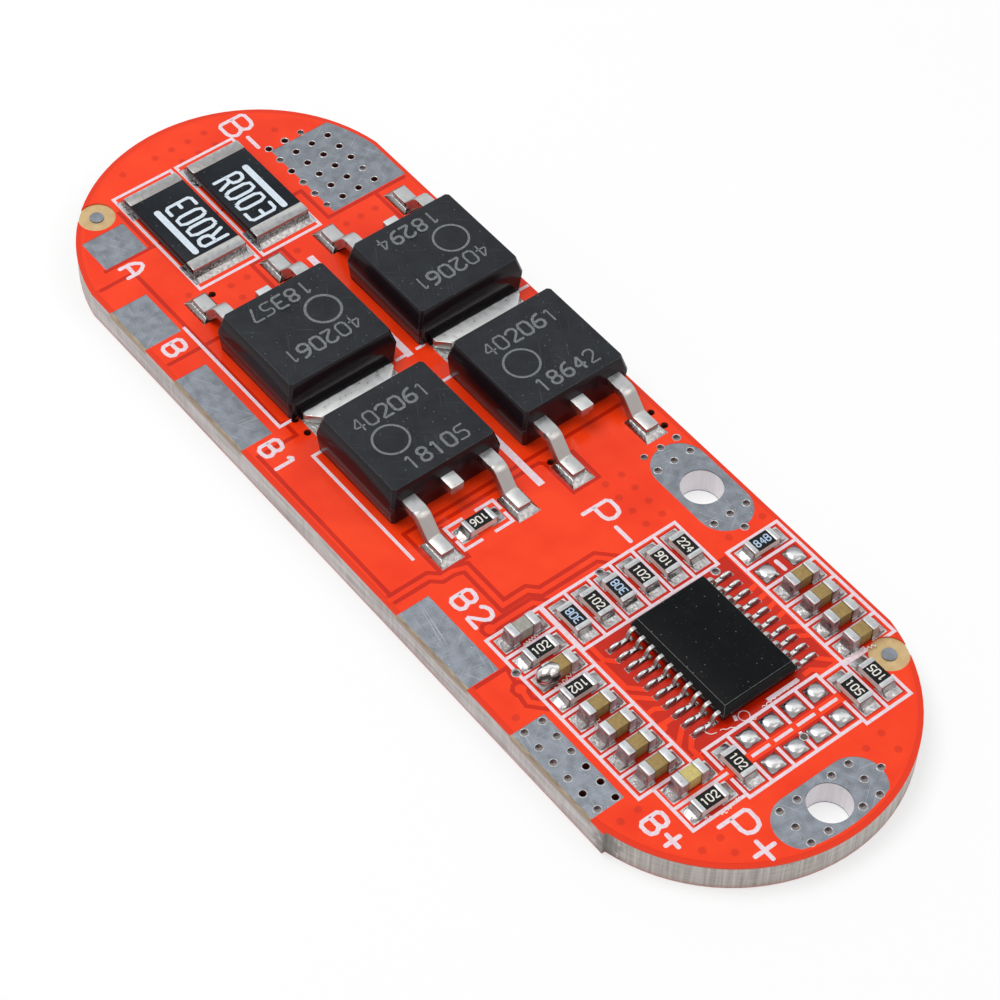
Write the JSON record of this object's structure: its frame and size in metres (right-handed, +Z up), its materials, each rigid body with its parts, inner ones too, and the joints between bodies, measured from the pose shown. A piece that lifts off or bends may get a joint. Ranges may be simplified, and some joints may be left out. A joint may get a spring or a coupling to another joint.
{
  "type": "battery management board",
  "caption": "Red stadium-shaped circuit board that guards a battery pack, with power transistors, sense resistors, a control chip and two holed terminals.",
  "frame": {"origin": "middle of the board's underside", "axes": "+X along the board to the P+ hole, +Y to the edge with the P- hole, +Z up through the parts"},
  "size_m": [0.0544, 0.0178, 0.0039],
  "materials": {
    "laminate": "glass laminate, sawn and routed edges, red on the underside",
    "copper": "bare copper under the mask",
    "red_mask": "glossy red lacquer",
    "white_ink": "screen printed, slightly uneven",
    "tinned_pad": "hot-air tinned, smooth",
    "tinned_eye": "hot-air tinned, smooth",
    "tinned_land": "solder wetted",
    "solder": "reflowed, shiny",
    "resistor_moulding": "moulded, fine grain",
    "end_metal": "tin plated",
    "chip_moulding": "moulded, fine grain",
    "lead_metal": "tin plated",
    "white_ceramic": "fired alumina",
    "black_coat": "glass coat",
    "tan_ceramic": "fired ceramic",
    "transistor_moulding": "moulded, polished sides and matt top"
  },
  "bodies": {
    "root": {"circuit_board": "laminate", "copper_foil": "copper", "solder_mask": "red_mask", "printed_frames": "white_ink", "terminal_pad_b_minus": "tinned_pad", "terminal_pad_a": "tinned_pad", "terminal_pad_b": "tinned_pad", "terminal_pad_b1": "tinned_pad", "terminal_pad_b2": "tinned_pad", "terminal_pad_b_plus": "tinned_pad", "terminal_eye_p_minus": "tinned_eye", "terminal_eye_p_plus": "tinned_eye", "fiducial_dots": "tinned_pad", "small_lands": "tinned_land", "transistor_lands": "tinned_land", "sense_lands": "tinned_land", "transistor_solder": "solder", "sense_resistor_1_body": "resistor_moulding", "sense_resistor_2_body": "resistor_moulding", "sense_resistor_1_straps": "end_metal", "sense_resistor_2_straps": "end_metal", "sense_resistor_solder": "solder", "control_chip_body": "chip_moulding", "control_chip_legs": "lead_metal", "control_chip_solder": "solder", "resistor_ceramics": "white_ceramic", "resistor_coats": "black_coat", "resistor_end_straps": "end_metal", "resistor_solder": "solder", "capacitor_bodies": "tan_ceramic", "capacitor_end_caps": "end_metal", "capacitor_solder": "solder", "bare_land_solder": "solder", "transistor_1_body": "transistor_moulding", "transistor_1_drain_tab": "lead_metal", "transistor_1_leads": "lead_metal", "transistor_2_body": "transistor_moulding", "transistor_2_drain_tab": "lead_metal", "transistor_2_leads": "lead_metal", "transistor_3_body": "transistor_moulding", "transistor_3_drain_tab": "lead_metal", "transistor_3_leads": "lead_metal", "transistor_4_body": "transistor_moulding", "transistor_4_drain_tab": "lead_metal", "transistor_4_leads": "lead_metal"}
  },
  "joints": []
}
